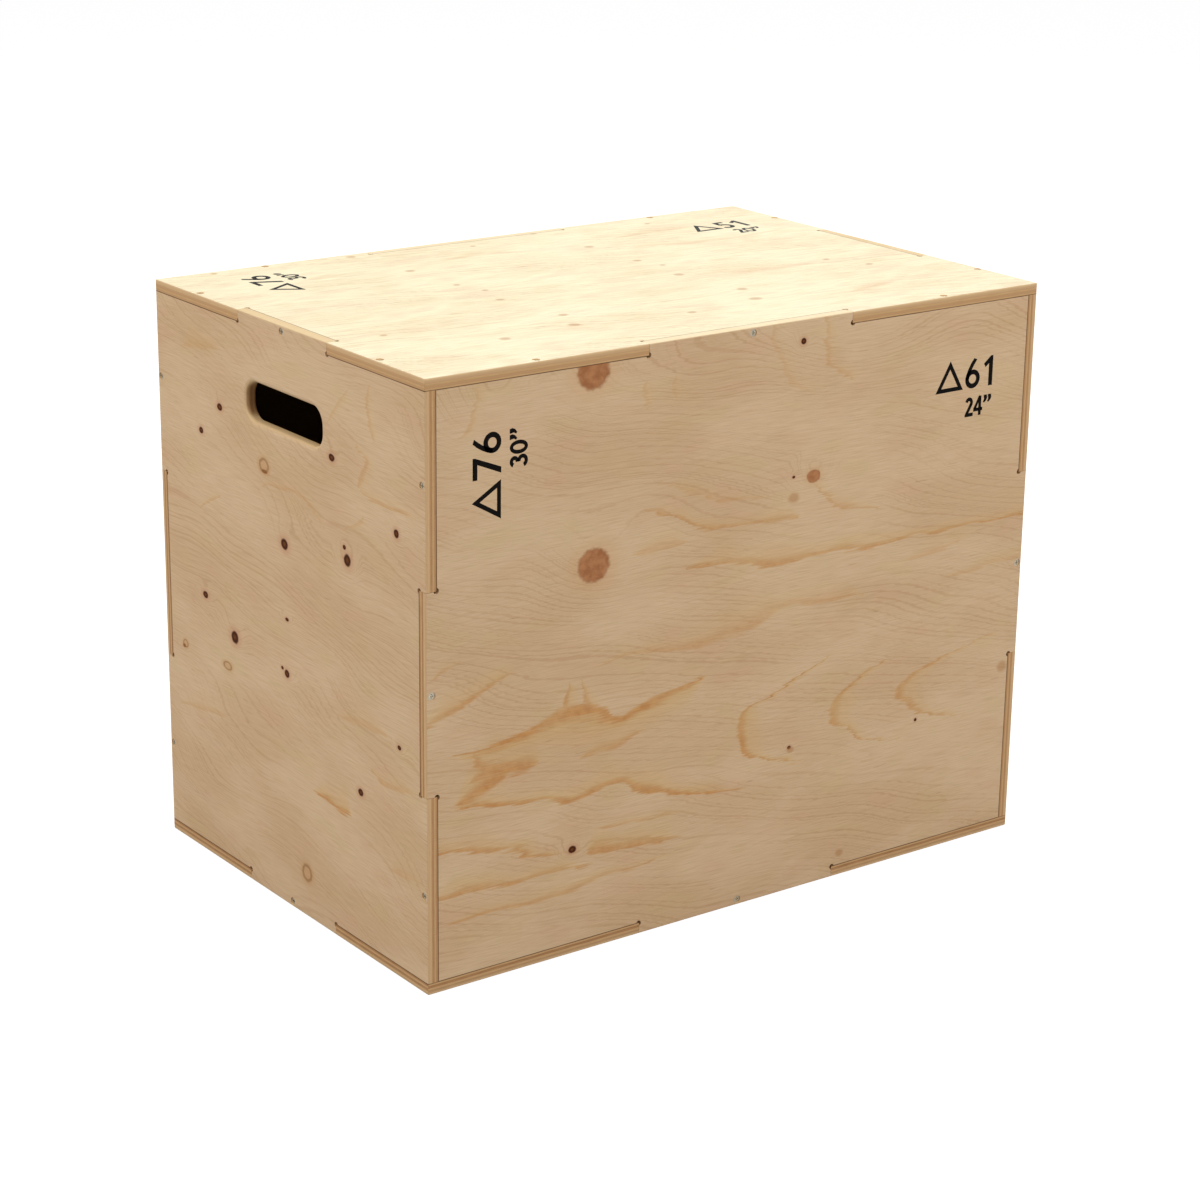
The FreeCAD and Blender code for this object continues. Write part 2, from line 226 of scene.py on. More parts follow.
def plywood(name, corner, turn, size, seams, seed, pale=VENEER_PALE, tan=VENEER_TAN, sawn=END_GRAIN_DARK,
            flush=None, swirl=7.0, hills=(), bands=(), arcs=(), knots=None):
    """Sheet of plywood. Its corner and turn give u along the grain, v across and w out of its face, in mm.

    A sheet whose tabs end in the top has a tone for them there, because they are sanded flush with it."""
    material, start = bare(name, {"Specular IOR Level": 0.12})
    length, height = size
    turned = {"vector_type": "TEXTURE"}
    place, facing = (start.node("TexCoord", out=kind) for kind in ("Object", "Normal"))
    laid = {"Vector": place, "Location": corner, "Rotation": turn, "Scale": (MM, MM, MM)}
    at = start.node("Mapping", turned, laid)
    normal = start.node("Mapping", turned, {"Vector": facing, "Rotation": turn})
    u, v, w = (at.node("SeparateXYZ", None, {0: at}, out=axis) for axis in "XYZ")
    normal_u, normal_v = (abs(normal.node("SeparateXYZ", None, {0: normal}, out=axis)) for axis in "XY")

    # the growth rings, which the knife meets in long waves, humped up at hills and knots
    fibre = clouds(at, FIBRES, seed + 1)
    feather = clouds(at, FEATHERS, seed + 2)
    patch = clouds(at, PATCHES, seed + 3, 1.0)
    blush = clouds(at, BLUSHES, seed + 6, 1.0)
    mottle = clouds(at, MOTTLES, seed + 7, 4.0)
    rings = (v + RING_LEAN * u) / RING_GAP + swirl * clouds(at, SWIRLS, seed + 4, 1.0)
    for hill_u, hill_v, long, high, rise in hills:
        rings = rings + smooth(away(at, (hill_u, hill_v), (long, high)), 1.0, 0.0, 0.0, rise)
    wobble = 0.2 * clouds(at, WOBBLES, seed + 5, 1.0) - 0.1
    far = {kind: nearest(at, ovals) + wobble for kind, ovals in (knots or {}).items()}
    for kind, rise in (("red", 3.0), ("dark", 1.5)):
        if kind in far:
            rings = rings + smooth(far[kind], 5.0, 0.6, 0.0, rise)
    ringed = {"W": rings + 0.4 * feather, "Scale": 3.2, "Detail": 1.0}
    line = rings.node("TexNoise", {"noise_dimensions": "1D"}, ringed)
    line = smooth(line, 0.48, 0.72) * smooth(patch, 0.30, 0.6, 0.25, 1.0)

    # flames, where a band of late wood lies flat in the cut
    ragged = 9.0 * feather + 14.0 * blush - 11.5
    along, across = (u + ragged) / length, (v + ragged) / height
    flames = []
    for strength, points in bands:
        shares = [(u_mm / length, v_mm / height, wide / height) for u_mm, v_mm, wide in points]
        flames.append((along, across, strength, shares))
    for strength, points in arcs:
        shares = [(v_mm / height, u_mm / length, wide / length) for u_mm, v_mm, wide in points]
        flames.append((across, along, strength, shares))
    late = glow = None
    for drawn in flames:
        core, fade = flame(*drawn)
        late = core if late is None else late.math("MAXIMUM", core)
        glow = fade if glow is None else glow.math("MAXIMUM", fade)

    # its colour: pale and tan patches, a little pink and yellow, the rings, fine fibres and short flecks
    face = mix(smooth(patch, 0.30, 0.70), pale, tan)
    face = mix(smooth(blush, 0.52, 0.80, 0.0, 0.20), face, VENEER_PINK)
    face = mix(smooth(blush, 0.46, 0.22, 0.0, 0.18), face, VENEER_YELLOW)
    face = mix(0.32 * line, face, RING_BROWN)
    if flames:
        face = mix(0.55 * glow, face, FLAME_GLOW)
        late = late * smooth(feather, 0.25, 0.55, 0.60, 1.0) * smooth(blush, 0.30, 0.55, 0.65, 1.0)
        face = mix(late, face, mix(smooth(mottle, 0.3, 0.7), FLAME_LIGHT, FLAME_DARK))
    face = mix(smooth(fibre, 0.35, 0.75, 0.0, 0.30), face, FIBRE_BROWN)
    fleck = smooth(feather, 0.74, 0.84, 0.0, 0.28)
    face = mix(fleck, face, FLECK_BROWN)

    # its knots: sound red ones, loose dark ones, pale ones in a dark ring, and brown shadows of others
    if "red" in far:
        face = mix(smooth(far["red"], 2.2, 0.9, 0.0, 0.25), face, RED_KNOT_GLOW)
        heart = mix(smooth(mottle, 0.3, 0.7), RED_KNOT_DARK, RED_KNOT_LIGHT)
        face = mix(smooth(far["red"], 1.12, 0.82, 0.0, 0.95), face, heart)
        face = mix(smooth(abs(far["red"] - 0.92), 0.14, 0.0, 0.0, 0.15), face, RED_KNOT_RIM)
    if "dark" in far:
        face = mix(smooth(far["dark"], 2.4, 1.0, 0.0, 0.40), face, DARK_KNOT_GLOW)
        heart = mix(smooth(far["dark"], 0.10, 0.60), DARK_KNOT_HEART, DARK_KNOT)
        face = mix(smooth(far["dark"], 1.15, 0.75), face, heart)
    if "ring" in far:
        face = mix(smooth(far["ring"], 1.8, 0.8, 0.0, 0.45), face, PALE_KNOT)
        face = mix(smooth(abs(far["ring"] - 0.85), 0.30, 0.05, 0.0, 0.5), face, PALE_KNOT_RING)
    if "brown" in far:
        face = mix(smooth(far["brown"], 1.25, 0.45, 0.0, 0.55), face, BROWN_KNOT)

    # its inner face, an unsanded veneer of a lower grade, and the layers that a cut lays bare
    depth = 0.4 * clouds(at, WAVES, seed + 8, 1.0) - 0.2 - w
    streak = clouds(start.node("CombineXYZ", None, {0: u + v, 1: w}), STREAKS, seed + 9)
    core_wood = mix(streak, CORE_LIGHT, CORE_DARK)
    flat = mix(smooth(depth, LAYER - 0.1, LAYER + 0.1), face, core_wood)
    inner = mix(fibre, INNER_LIGHT, INNER_DARK)
    flat = mix(smooth(depth, PLY - LAYER, PLY - 0.3), flat, inner)

    # its sawn edges, where every other layer shows its end grain, a painted highlight by the face, a cleanly
    # routed slot with painted light on its long walls and painted shade on its ends, and the flush tabs
    layer = depth.math("MAXIMUM", LAYER / 2) / LAYER
    wave = (layer + 0.5).math("PINGPONG", 1.0)
    end_grain = mix(streak, END_GRAIN_LIGHT, sawn)
    ends = normal_u + smooth(wave, 0.58, 0.42) * (normal_v - normal_u)
    sideways = smooth(normal_u + normal_v, 0.5, 0.9)
    wood = mix(sideways, flat, mix(smooth(ends, 0.35, 0.9), core_wood, end_grain))
    wood = mix(smooth(abs(wave - 0.5), 0.10, 0.0, 0.0, 0.32) * sideways, wood, GLUE_LINE)
    within = (abs(u - length / 2) - length / 2).math("MAXIMUM", abs(v - height / 2) - height / 2)
    # painted highlight: the sawn edges grow paler towards the face, as if their eased rim caught the light
    wood = mix(smooth(depth, 7.0, 0.5, 0.0, 0.5) * sideways, wood, RIM_PAINTED_HIGHLIGHT)
    # painted light and shade in the hand slot: its upper and lower walls are paler, partly fresh routed wood
    # and partly painted light; its end walls are darker, partly end grain and partly painted shade
    slot = smooth(within, -30.0, -40.0, 0.0, 0.6) * sideways
    wood = mix(slot, wood, mix(smooth(normal_u, 0.4, 0.9), SLOT_PALE_AND_LIT, SLOT_END_GRAIN_AND_SHADE))
    if flush:
        wood = mix(smooth(v, height - 1.0, height - 0.3, 0.0, 0.85), wood, flush)

    # the dark line where it meets its neighbours, on its face and down its edges
    dark = smooth(depth, PLY - 0.9, PLY - 0.35) * sideways
    outer = smooth(depth, LAYER, 0.0)
    sides = ((u, v, size, seams[0]), (v, u, size[::-1], seams[1]))
    for reach, beside, (span, run), (finger, low, high) in sides:
        gap = abs(abs(reach - span / 2) - (span / 2 - PLY))
        joint = smooth(abs(beside - run / 2), finger / 2 - 0.3, finger / 2 + 0.3, low, high)
        dark = dark.math("MAXIMUM", smooth(gap, SEAM, SEAM * 0.4) * joint * outer)
    wood = mix(0.78 * dark, wood, SEAM_SHADE)

    rough = smooth(fibre, 0.3, 0.7, 0.58, 0.72)
    relief = 0.7 * fibre + 0.4 * line - fleck
    bump = start.node("Bump", None, {"Strength": 0.35, "Distance": 0.0004, "Height": relief})
    finish(material, {"Base Color": wood, "Roughness": rough, "Normal": bump})
    return material


def dress(node, material):
    """Give a CAD piece its finish."""
    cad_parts[node].data.materials.clear()
    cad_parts[node].data.materials.append(material)


WIDTH, DEPTH, HEIGHT = ((cad_high[axis] - cad_low[axis]) / MM for axis in range(3))
NOTCH, TAB = (1.0, 0.0), (0.0, 1.0)
DECK_SEAMS = ((FINGERS["depth"], *NOTCH), (FINGERS["width"], *NOTCH))
BOTTOM_KNOTS = {
    "dark": ((140, 330, 9, 8), (410, 190, 12, 10), (655, 385, 8, 7)),
    "ring": ((300, 410, 17, 14), (560, 110, 15, 12)),
    "brown": ((90, 120, 12, 10), (480, 350, 13, 11), (690, 200, 12, 10)),
}
BOTTOM_BANDS = (
    (0.50, ((30, 250, 0), (110, 240, 7), (200, 246, 9), (300, 236, 6), (380, 226, 0))),
    (0.40, ((260, 150, 0), (340, 142, 6), (450, 128, 8), (560, 138, 5), (640, 132, 0))),
    (0.35, ((420, 300, 0), (500, 292, 8), (600, 280, 7), (700, 284, 0))),
)
BOTTOM_PLY = plywood("bottom_ply", (cad_low.x, cad_high.y, cad_low.z), (pi, 0.0, 0.0), (WIDTH, DEPTH),
                     DECK_SEAMS, seed=11, bands=BOTTOM_BANDS, knots=BOTTOM_KNOTS)
dress("bottom_panel", BOTTOM_PLY)


# End panels: plywood with a tab above and below, notches for the front and back, and a routed hand
# slot with eased rims. Their grain lies level.
END_SEAMS = ((FINGERS["height"], *NOTCH), (FINGERS["depth"], *TAB))
END_SAWN, END_FLUSH, END_SWIRL = tone(168, 124, 84), tone(216, 192, 148), 12.0
LEFT_KNOTS = {
    "dark": ((129, 502, 11, 8), (89, 469, 9, 7), (346, 499, 11, 8), (460, 452, 9, 9), (367, 415, 6, 5),
             (372, 403, 13, 13), (253, 389, 14, 12), (88, 292, 11, 8), (148, 262, 15, 14),
             (255, 311, 7, 4), (253, 253, 10, 9), (244, 257, 5, 4), (462, 240, 7, 5), (391, 171, 10, 8),
             (217, 455, 11, 4), (38, 222, 6, 4)),
    "ring": ((216, 461, 19, 15), (41, 225, 11, 9), (285, 48, 19, 19), (131, 226, 18, 9)),
}
LEFT_BANDS = (
    (0.85, ((300, 145, 0), (320, 144, 6), (350, 141, 9), (368, 140, 8), (374, 140, 0))),
    (0.30, ((48, 550, 0), (70, 551, 9), (110, 557, 8), (135, 562, 0))),
    (0.40, ((392, 479, 0), (410, 474, 6), (440, 473, 6), (470, 475, 4), (500, 477, 0))),
    (0.30, ((80, 385, 0), (95, 392, 4), (115, 402, 5), (130, 410, 0))),
    (0.25, ((205, 441, 0), (240, 444, 5), (285, 446, 5), (315, 434, 4), (345, 420, 0))),
    (0.30, ((340, 238, 0), (380, 239, 9), (425, 243, 8), (445, 241, 0))),
    (0.35, ((400, 205, 0), (430, 196, 7), (470, 195, 7), (490, 198, 0))),
    (0.25, ((440, 108, 0), (460, 108, 8), (490, 110, 5), (505, 112, 0))),
    (0.20, ((20, 152, 0), (60, 160, 8), (115, 166, 6), (130, 168, 0))),
)
LEFT_ARCS = (
    (0.35, ((392, 478, 0), (394, 486, 9), (402, 500, 9), (410, 511, 7), (396, 518, 5), (382, 527, 0))),
    (0.30, ((424, 528, 0), (417, 540, 7), (411, 556, 7), (410, 572, 6), (418, 588, 0))),
    (0.25, ((336, 528, 0), (345, 541, 6), (358, 555, 6), (384, 578, 0))),
    (0.25, ((360, 430, 0), (378, 438, 8), (395, 448, 9), (404, 456, 0))),
)
LEFT_PLY = plywood("left_ply", (cad_low.x, cad_high.y, cad_low.z), (pi / 2, 0.0, -pi / 2), (DEPTH, HEIGHT),
                   END_SEAMS, seed=3, sawn=END_SAWN, flush=END_FLUSH, swirl=END_SWIRL, bands=LEFT_BANDS,
                   arcs=LEFT_ARCS, knots=LEFT_KNOTS)
dress("left_end_panel", LEFT_PLY)
RIGHT_KNOTS = {
    "dark": ((96, 441, 10, 8), (214, 402, 8, 7), (402, 470, 12, 11), (330, 318, 9, 8),
             (120, 251, 13, 11), (430, 205, 8, 7), (265, 140, 11, 9), (70, 118, 7, 6), (385, 84, 9, 8)),
    "ring": ((168, 338, 16, 13), (447, 356, 14, 11), (318, 215, 17, 12)),
}
RIGHT_BANDS = (
    (0.45, ((40, 380, 0), (90, 372, 6), (150, 376, 8), (210, 364, 6), (260, 358, 0))),
    (0.55, ((250, 262, 0), (300, 256, 8), (360, 250, 10), (420, 256, 6), (470, 252, 0))),
    (0.40, ((60, 182, 0), (120, 176, 8), (180, 168, 9), (240, 172, 0))),
    (0.35, ((300, 118, 0), (350, 114, 6), (410, 120, 7), (460, 116, 0))),
)
RIGHT_PLY = plywood("right_ply", (cad_high.x, cad_low.y, cad_low.z), (pi / 2, 0.0, pi / 2), (DEPTH, HEIGHT),
                    END_SEAMS, seed=5, sawn=END_SAWN, flush=END_FLUSH, swirl=END_SWIRL, bands=RIGHT_BANDS,
                    knots=RIGHT_KNOTS)
dress("right_end_panel", RIGHT_PLY)


# Inner brace: a plain board of the same plywood that stands across the box in shallow grooves.
# Only its face shows, in the dark behind the hand slots.
brace_low, brace_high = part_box("inner_brace")
brace_size = ((brace_high.y - brace_low.y) / MM, (brace_high.z - brace_low.z) / MM)
BRACE_PLY = plywood("brace_ply", (brace_low.x, brace_high.y, brace_low.z), (pi / 2, 0.0, -pi / 2),
                    brace_size, ((0.0, *NOTCH), (0.0, *NOTCH)), seed=8)
dress("inner_brace", BRACE_PLY)


# Front and back panels: the largest faces, plywood with a tab in the middle of each edge.
# The front's veneer has two round red knots, and wide orange flames in its lower half.
SIDE_SEAMS = ((FINGERS["height"], *TAB), (FINGERS["width"], *TAB))
SIDE_FLUSH = tone(234, 216, 178)
FRONT_KNOTS = {
    "red": ((188, 592, 38, 37), (191, 401, 38, 35), (463, 447, 18, 14)),
    "dark": ((444, 588, 7, 7), (169, 112, 10, 8), (437, 450, 4, 3), (443, 160, 5, 4), (617, 154, 4, 4)),
    "brown": ((438, 428, 16, 12), (445, 157, 10, 8), (517, 25, 12, 9), (740, 190, 16, 14)),
}
FRONT_HILLS = ((300, 575, 300, 150, 7.0), (520, 600, 360, 220, 8.0), (70, 590, 160, 160, 6.0))
FRONT_BANDS = (
    (0.85, ((22, 240, 0), (60, 240, -7), (100, 246, -9), (135, 252, -12), (152, 258, -16),
            (172, 260, -18), (188, 258, -20), (206, 250, -16), (226, 239, -9), (245, 245, -12),
            (285, 252, -11), (310, 256, -8), (335, 262, 0))),
    (0.80, ((26, 187, 0), (40, 189, 10), (58, 194, 20), (76, 203, 22), (92, 211, 14), (108, 218, 0))),
    (0.70, ((42, 205, 0), (58, 210, 12), (80, 214, 14), (100, 213, 14), (118, 212, 10), (132, 211, 0))),
    (0.60, ((48, 237, 0), (60, 231, -12), (76, 225, -14), (90, 222, -12), (106, 219, 0))),
    (0.80, ((28, 186, 0), (60, 183, 7), (100, 177, 6), (130, 169, 6), (165, 164, 8), (200, 167, 9),
            (226, 168, 10), (245, 157, 12), (270, 150, 12), (310, 141, 6), (350, 135, 5), (392, 130, 0))),
    (0.50, ((176, 207, 0), (198, 206, 12), (220, 208, 12), (240, 216, 7), (262, 221, 0))),
    (0.70, ((0, 146, 4), (40, 143, 6), (70, 134, 9), (100, 125, 7), (130, 115, 6), (166, 108, 0))),
    (0.65, ((182, 106, 0), (198, 102, 12), (225, 100, 8), (260, 97, 6), (305, 92, 0))),
    (0.40, ((190, 127, 0), (230, 124, 5), (270, 120, 4), (310, 116, 0))),
    (0.65, ((0, 99, 5), (50, 97, 6), (100, 94, 6), (150, 91, 5), (195, 90, 0))),
    (0.50, ((15, 71, 0), (60, 70, 5), (110, 67, 6), (145, 65, 8), (185, 70, 5), (225, 75, 5),
            (300, 74, 0))),
    (0.60, ((0, 274, 6), (20, 281, 12), (40, 288, 10), (70, 300, 6), (105, 312, 0))),
    (0.30, ((5, 322, 0), (20, 327, 6), (40, 335, 0))),
    (0.35, ((180, 298, 0), (270, 299, 7), (330, 297, 9), (380, 301, 16), (430, 312, 12), (500, 311, 10),
            (540, 308, 0))),
    (0.60, ((300, 382, 0), (340, 375, 6), (385, 366, 11), (425, 363, 12), (475, 363, 7), (540, 360, 6),
            (640, 359, 5), (750, 361, 4))),
    (0.30, ((235, 404, 0), (255, 402, 10), (290, 404, 8), (305, 406, 0))),
    (0.50, ((250, 450, 0), (275, 440, 5), (300, 428, 6), (320, 415, 7), (350, 413, 5), (400, 408, 7),
            (430, 406, 7), (450, 408, 0))),
    (0.30, ((262, 476, 0), (300, 455, 4), (340, 446, 5), (370, 438, 4), (410, 432, 0))),
    (0.40, ((462, 440, 0), (475, 428, 5), (495, 416, 5), (520, 406, 6), (560, 399, 0))),
    (0.25, ((580, 333, 0), (620, 338, 8), (650, 342, 6), (680, 344, 0))),
    (0.25, ((640, 308, 0), (690, 308, 5), (755, 311, 4))),
)
FRONT_ARCS = (
    (0.80, ((470, 136, 0), (432, 145, 6), (399, 157, 9), (385, 168, 11), (376, 184, 14), (373, 196, 14),
            (375, 206, 10), (385, 214, 6), (402, 220, 6), (430, 229, 6), (464, 240, 5), (500, 252, 0))),
    (0.65, ((620, 130, 0), (540, 151, 6), (514, 163, 9), (502, 172, 12), (496, 184, 15), (499, 195, 14),
            (512, 207, 9), (546, 223, 7), (590, 236, 0))),
    (0.55, ((700, 140, 0), (642, 154, 10), (619, 165, 12), (600, 178, 14), (588, 191, 16),
            (602, 203, 14), (622, 212, 13), (680, 223, 11), (758, 232, 0))),
    (0.65, ((150, 250, 0), (155, 262, 9), (159, 274, 6), (163, 288, 0))),
    (0.55, ((192, 250, 0), (185, 262, 9), (179, 274, 5), (177, 288, 0))),
    (0.32, ((515, 540, 0), (500, 546, 10), (482, 560, 8), (474, 576, 8), (470, 600, 6))),
    (0.18, ((470, 533, 0), (440, 540, 14), (424, 556, 9), (414, 572, 9), (405, 596, 5))),
    (0.30, ((262, 543, 0), (247, 555, 5), (244, 566, 5), (262, 577, 0))),
    (0.20, ((285, 545, 0), (280, 560, 7), (285, 577, 0))),
    (0.25, ((20, 543, 0), (42, 552, 7), (52, 568, 6), (50, 596, 4))),
)
FRONT_PLY = plywood("front_ply", (cad_low.x, cad_low.y, cad_low.z), (pi / 2, 0.0, 0.0), (WIDTH, HEIGHT),
                    SIDE_SEAMS, seed=1, flush=SIDE_FLUSH, hills=FRONT_HILLS, bands=FRONT_BANDS,
                    arcs=FRONT_ARCS, knots=FRONT_KNOTS)
dress("front_panel", FRONT_PLY)
BACK_KNOTS = {
    "red": ((548, 420, 32, 30), (236, 208, 28, 25)),
    "dark": ((120, 470, 9, 8), (402, 316, 8, 7), (655, 180, 10, 8), (330, 92, 7, 6)),
    "brown": ((300, 520, 14, 11), (690, 470, 14, 12), (96, 260, 12, 10)),
}
BACK_HILLS = ((420, 560, 320, 180, 7.0), (640, 90, 300, 170, 6.0))
BACK_BANDS = (
    (0.70, ((60, 340, 0), (130, 332, 9), (210, 338, 12), (280, 326, 8), (360, 318, 5), (440, 312, 0))),
    (0.60, ((300, 258, 0), (380, 250, 8), (470, 238, 12), (560, 244, 9), (660, 236, 5), (720, 232, 0))),
    (0.45, ((40, 150, 0), (120, 144, 6), (220, 132, 7), (320, 126, 0))),
    (0.40, ((420, 372, 0), (500, 366, 6), (600, 358, 6), (735, 362, 0))),
)
BACK_ARCS = (
    (0.60, ((610, 110, 0), (540, 126, 12), (512, 142, 16), (508, 158, 16), (534, 172, 12),
            (600, 190, 0))),
    (0.45, ((700, 96, 0), (640, 118, 14), (612, 136, 18), (622, 156, 16), (690, 176, 0))),
)
BACK_PLY = plywood("back_ply", (cad_high.x, cad_high.y, cad_low.z), (pi / 2, 0.0, pi), (WIDTH, HEIGHT),
                   SIDE_SEAMS, seed=21, flush=SIDE_FLUSH, hills=BACK_HILLS, bands=BACK_BANDS,
                   arcs=BACK_ARCS, knots=BACK_KNOTS)
dress("back_panel", BACK_PLY)


# Top panel: the landing face, a sheet of paler sapwood veneer. The same small knots come round
# again and again across its grain, as the log was peeled.
TOP_KNOTS = {
    "brown": ((228, 497, 12, 10), (242, 402, 12, 10), (245, 318, 9, 8), (255, 281, 8, 8),
              (243, 236, 11, 9), (256, 145, 12, 10), (240, 104, 14, 12), (150, 91, 13, 11),
              (61, 166, 9, 8), (63, 500, 9, 8), (465, 498, 11, 9), (475, 404, 13, 11),
              (475, 316, 11, 9), (484, 283, 8, 7), (469, 235, 13, 11), (480, 143, 13, 11),
              (463, 100, 16, 13), (370, 85, 11, 9), (651, 212, 9, 8), (674, 168, 10, 8),
              (370, 475, 8, 6), (608, 475, 8, 6)),
}
TOP_BANDS = (
    (0.22, ((285, 428, 0), (330, 430, 10), (370, 430, 12), (405, 422, 0))),
    (0.20, ((500, 385, 0), (540, 370, 10), (600, 360, 12), (660, 358, 10), (740, 372, 0))),
    (0.20, ((520, 426, 0), (560, 431, 10), (620, 434, 8), (660, 430, 0))),
    (0.18, ((120, 420, 0), (150, 420, 14), (180, 424, 0))),
    (0.15, ((480, 226, 0), (540, 212, 20), (600, 204, 16), (640, 208, 0))),
    (0.15, ((560, 70, 0), (600, 80, 18), (660, 90, 0))),
)
TOP_PALE, TOP_TAN, TOP_SAWN = tone(238, 229, 196), tone(236, 224, 189), tone(190, 152, 110)
TOP_PLY = plywood("top_ply", (cad_low.x, cad_low.y, cad_high.z), (0.0, 0.0, 0.0), (WIDTH, DEPTH), DECK_SEAMS,
                  seed=7, pale=TOP_PALE, tan=TOP_TAN, sawn=TOP_SAWN, bands=TOP_BANDS, knots=TOP_KNOTS)
dress("top_panel", TOP_PLY)


# Wood screws: countersunk, cross-recessed steel with bright zinc plating that has a faint yellow bloom.
# One holds every finger, sunk a little below the face of the panel.
ZINC_BRIGHT, ZINC_BLOOM = tone(238, 232, 216), tone(204, 194, 170)
SCREW_ZINC, plating = bare("screw_zinc", {"Metallic": 1.0})
screw_place = plating.node("TexCoord", out="Object")
bloom = plating.node("TexNoise", None, {"Vector": screw_place, "Scale": 900.0, "Detail": 3.0})
finish(SCREW_ZINC, {"Base Color": mix(bloom, ZINC_BRIGHT, ZINC_BLOOM),
                    "Roughness": smooth(bloom, 0.3, 0.7, 0.24, 0.40)})
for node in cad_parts:
    if node.endswith("_screws"):
        dress(node, SCREW_ZINC)


# Height marks: black screen-printing ink, a thin film on the sanded wood. Each gives the height of
# the box with that side up, in centimetres and below in inches, beside a triangle that points up.
# The ink is a little thin and brown where the grain stands through.
CAP, SMALL_CAP, LINE_DROP = 31.3, 19.6, 29.8
GAP, SMALL_GAP = 3.0, 1.6
PEN, BLEED, SMALL_BLEED = 0.145, 0.3, 0.5
TRIANGLE = (38.0, 32.5, 4.4)
INK_BED, INK_FILM = 0.03, 0.08
BOW_STEPS, BOW_INSIDE = 28, 0.5
INK_BLACK, INK_THIN = tone(8, 7, 7), tone(30, 23, 17)
FIGURES = {
    "0": (0.63, (), (((0.315, 0.5), (0.315, 0.5), 0, 360),)),
    "1": (0.475, (((0.315, 0.0), (0.475, 0.0), (0.475, 1.0), (0.39, 1.0), (0.09, 0.76), (0.16, 0.65),
                   (0.315, 0.77)),), ()),
    "2": (0.52, (((0.329, 0.656), (0.447, 0.564), (0.20, 0.145), (0.53, 0.145), (0.53, 0.0), (0.0, 0.0),
                  (0.0, 0.09)),), (((0.25, 0.73), (0.25, 0.27), 160, -38),)),
    "3": (0.57, (), (((0.265, 0.755), (0.255, 0.245), 150, -90),
                     ((0.27, 0.285), (0.30, 0.285), 90, -155))),
    "4": (0.60, (((0.355, 0.0), (0.50, 0.0), (0.50, 1.0), (0.355, 1.0)),
                 ((0.0, 0.23), (0.355, 0.23), (0.355, 0.365), (0.0, 0.365)),
                 ((0.50, 0.23), (0.60, 0.23), (0.60, 0.365), (0.50, 0.365)),
                 ((0.0, 0.365), (0.155, 0.365), (0.355, 0.78), (0.355, 1.0))), ()),
    "5": (0.55, (((0.115, 1.0), (0.52, 1.0), (0.52, 0.86), (0.25, 0.86), (0.225, 0.60), (0.085, 0.55)),),
          (((0.235, 0.325), (0.315, 0.325), 118, -140),)),
    "6": (0.63, (((0.0, 0.31), (0.145, 0.31), (0.175, 0.46), (0.245, 0.62), (0.345, 0.78), (0.475, 0.955),
                  (0.355, 1.0), (0.22, 0.83), (0.11, 0.64), (0.035, 0.47)),),
          (((0.315, 0.31), (0.315, 0.31), 0, 360),)),
    "7": (0.66, (((0.0, 1.0), (0.0, 0.85), (0.475, 0.85), (0.115, 0.0), (0.285, 0.0), (0.66, 0.93),
                  (0.66, 1.0)),), ()),
    "”": (0.54, tuple(((x + 0.03, 1.0), (x + 0.21, 1.0), (x + 0.24, 0.87), (x + 0.18, 0.73),
                       (x + 0.05, 0.63), (x, 0.67), (x + 0.07, 0.78), (x + 0.05, 0.87))
                      for x in (0.0, 0.30)), ()),
}


def bow(shape, middle, radii, start, end):
    """Curved stroke of even width along an oval, from one angle round to another."""
    before = set(shape.verts)
    ray = Vector((cos(radians(start)), sin(radians(start)), 0.0))
    tips = [shape.verts.new(ray), shape.verts.new(ray * BOW_INSIDE)]
    bmesh.ops.spin(shape, geom=[*tips, shape.edges.new(tips)], axis=(0.0, 0.0, 1.0), steps=BOW_STEPS,
                   angle=radians(end - start), use_merge=abs(end - start) == 360)
    made = [vert for vert in shape.verts if vert not in before]
    outside = [vert for vert in made if vert.co.length > (1 + BOW_INSIDE) / 2]
    inside = [vert for vert in made if vert.co.length < (1 + BOW_INSIDE) / 2]
    bmesh.ops.scale(shape, vec=(radii[0], radii[1], 1.0), verts=outside)
    inner = [(radius - PEN) / BOW_INSIDE for radius in radii]
    bmesh.ops.scale(shape, vec=(*inner, 1.0), verts=inside)
    bmesh.ops.translate(shape, vec=(*middle, 0.0), verts=made)


def write(shape, text, cap, pen, line, gap, bleed):
    """Figures of one height from a pen position along a line. The ink runs a little past their edges."""
    for sign in text:
        width, patches, bows = FIGURES[sign]
        before, drawn = set(shape.verts), set(shape.faces)
        for corners in patches:
            shape.faces.new([shape.verts.new((x, y, 0.0)) for x, y in corners])
        for stroke in bows:
            bow(shape, *stroke)
        made = [vert for vert in shape.verts if vert not in before]
        bmesh.ops.scale(shape, vec=(cap, cap, 1.0), verts=made)
        bmesh.ops.translate(shape, vec=(pen, line, 0.0), verts=made)
        shape.normal_update()
        fresh = [face for face in shape.faces if face not in drawn]
        rim = bmesh.ops.inset_region(shape, faces=fresh, thickness=-bleed, use_even_offset=True,
                                     use_boundary=True)
        bmesh.ops.delete(shape, geom=rim["faces"], context="FACES")
        pen += width * cap + gap


